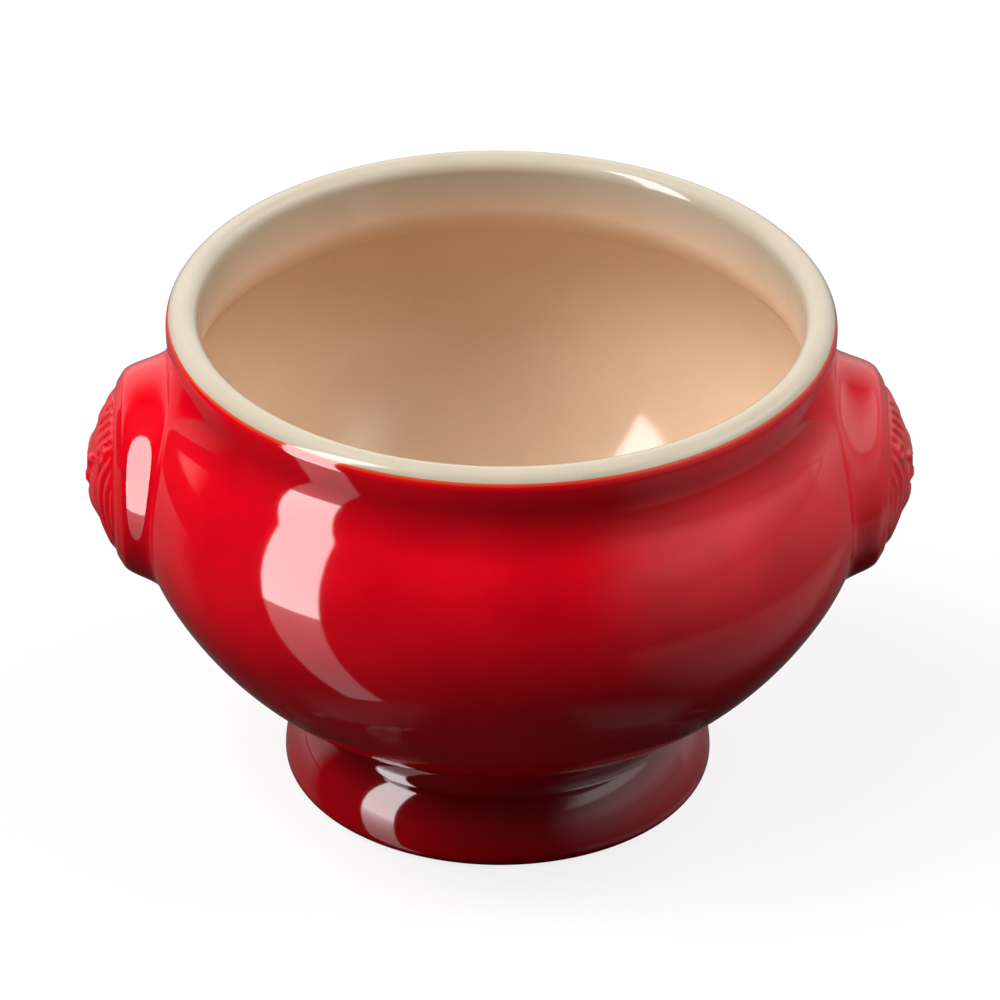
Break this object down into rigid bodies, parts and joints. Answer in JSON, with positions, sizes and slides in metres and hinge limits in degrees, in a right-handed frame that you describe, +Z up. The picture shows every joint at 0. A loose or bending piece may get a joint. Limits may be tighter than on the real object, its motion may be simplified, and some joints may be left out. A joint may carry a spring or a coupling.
{
  "type": "french onion soup crock",
  "caption": "Red glazed stoneware onion soup crock with lion-head handles, a cream lip and a pedestal foot.",
  "frame": {"origin": "centre of the standing ring, on the table", "axes": "+Z up along the bowl's axis, +X out through the right lion head as the picture shows it, -Y towards the side that faces the camera"},
  "size_m": [0.1496, 0.133, 0.095],
  "materials": {
    "red_glaze": "gloss",
    "cream_glaze": "gloss",
    "tan_glaze": "gloss",
    "bare_clay": "matte"
  },
  "bodies": {
    "root": {"bowl_body": "bare_clay", "foot": "bare_clay", "handle_left": "red_glaze", "handle_right": "red_glaze", "inner_glaze": "tan_glaze", "rim_glaze": "cream_glaze", "outer_glaze": "red_glaze", "foot_glaze": "red_glaze", "recess_glaze": "red_glaze"}
  },
  "joints": []
}
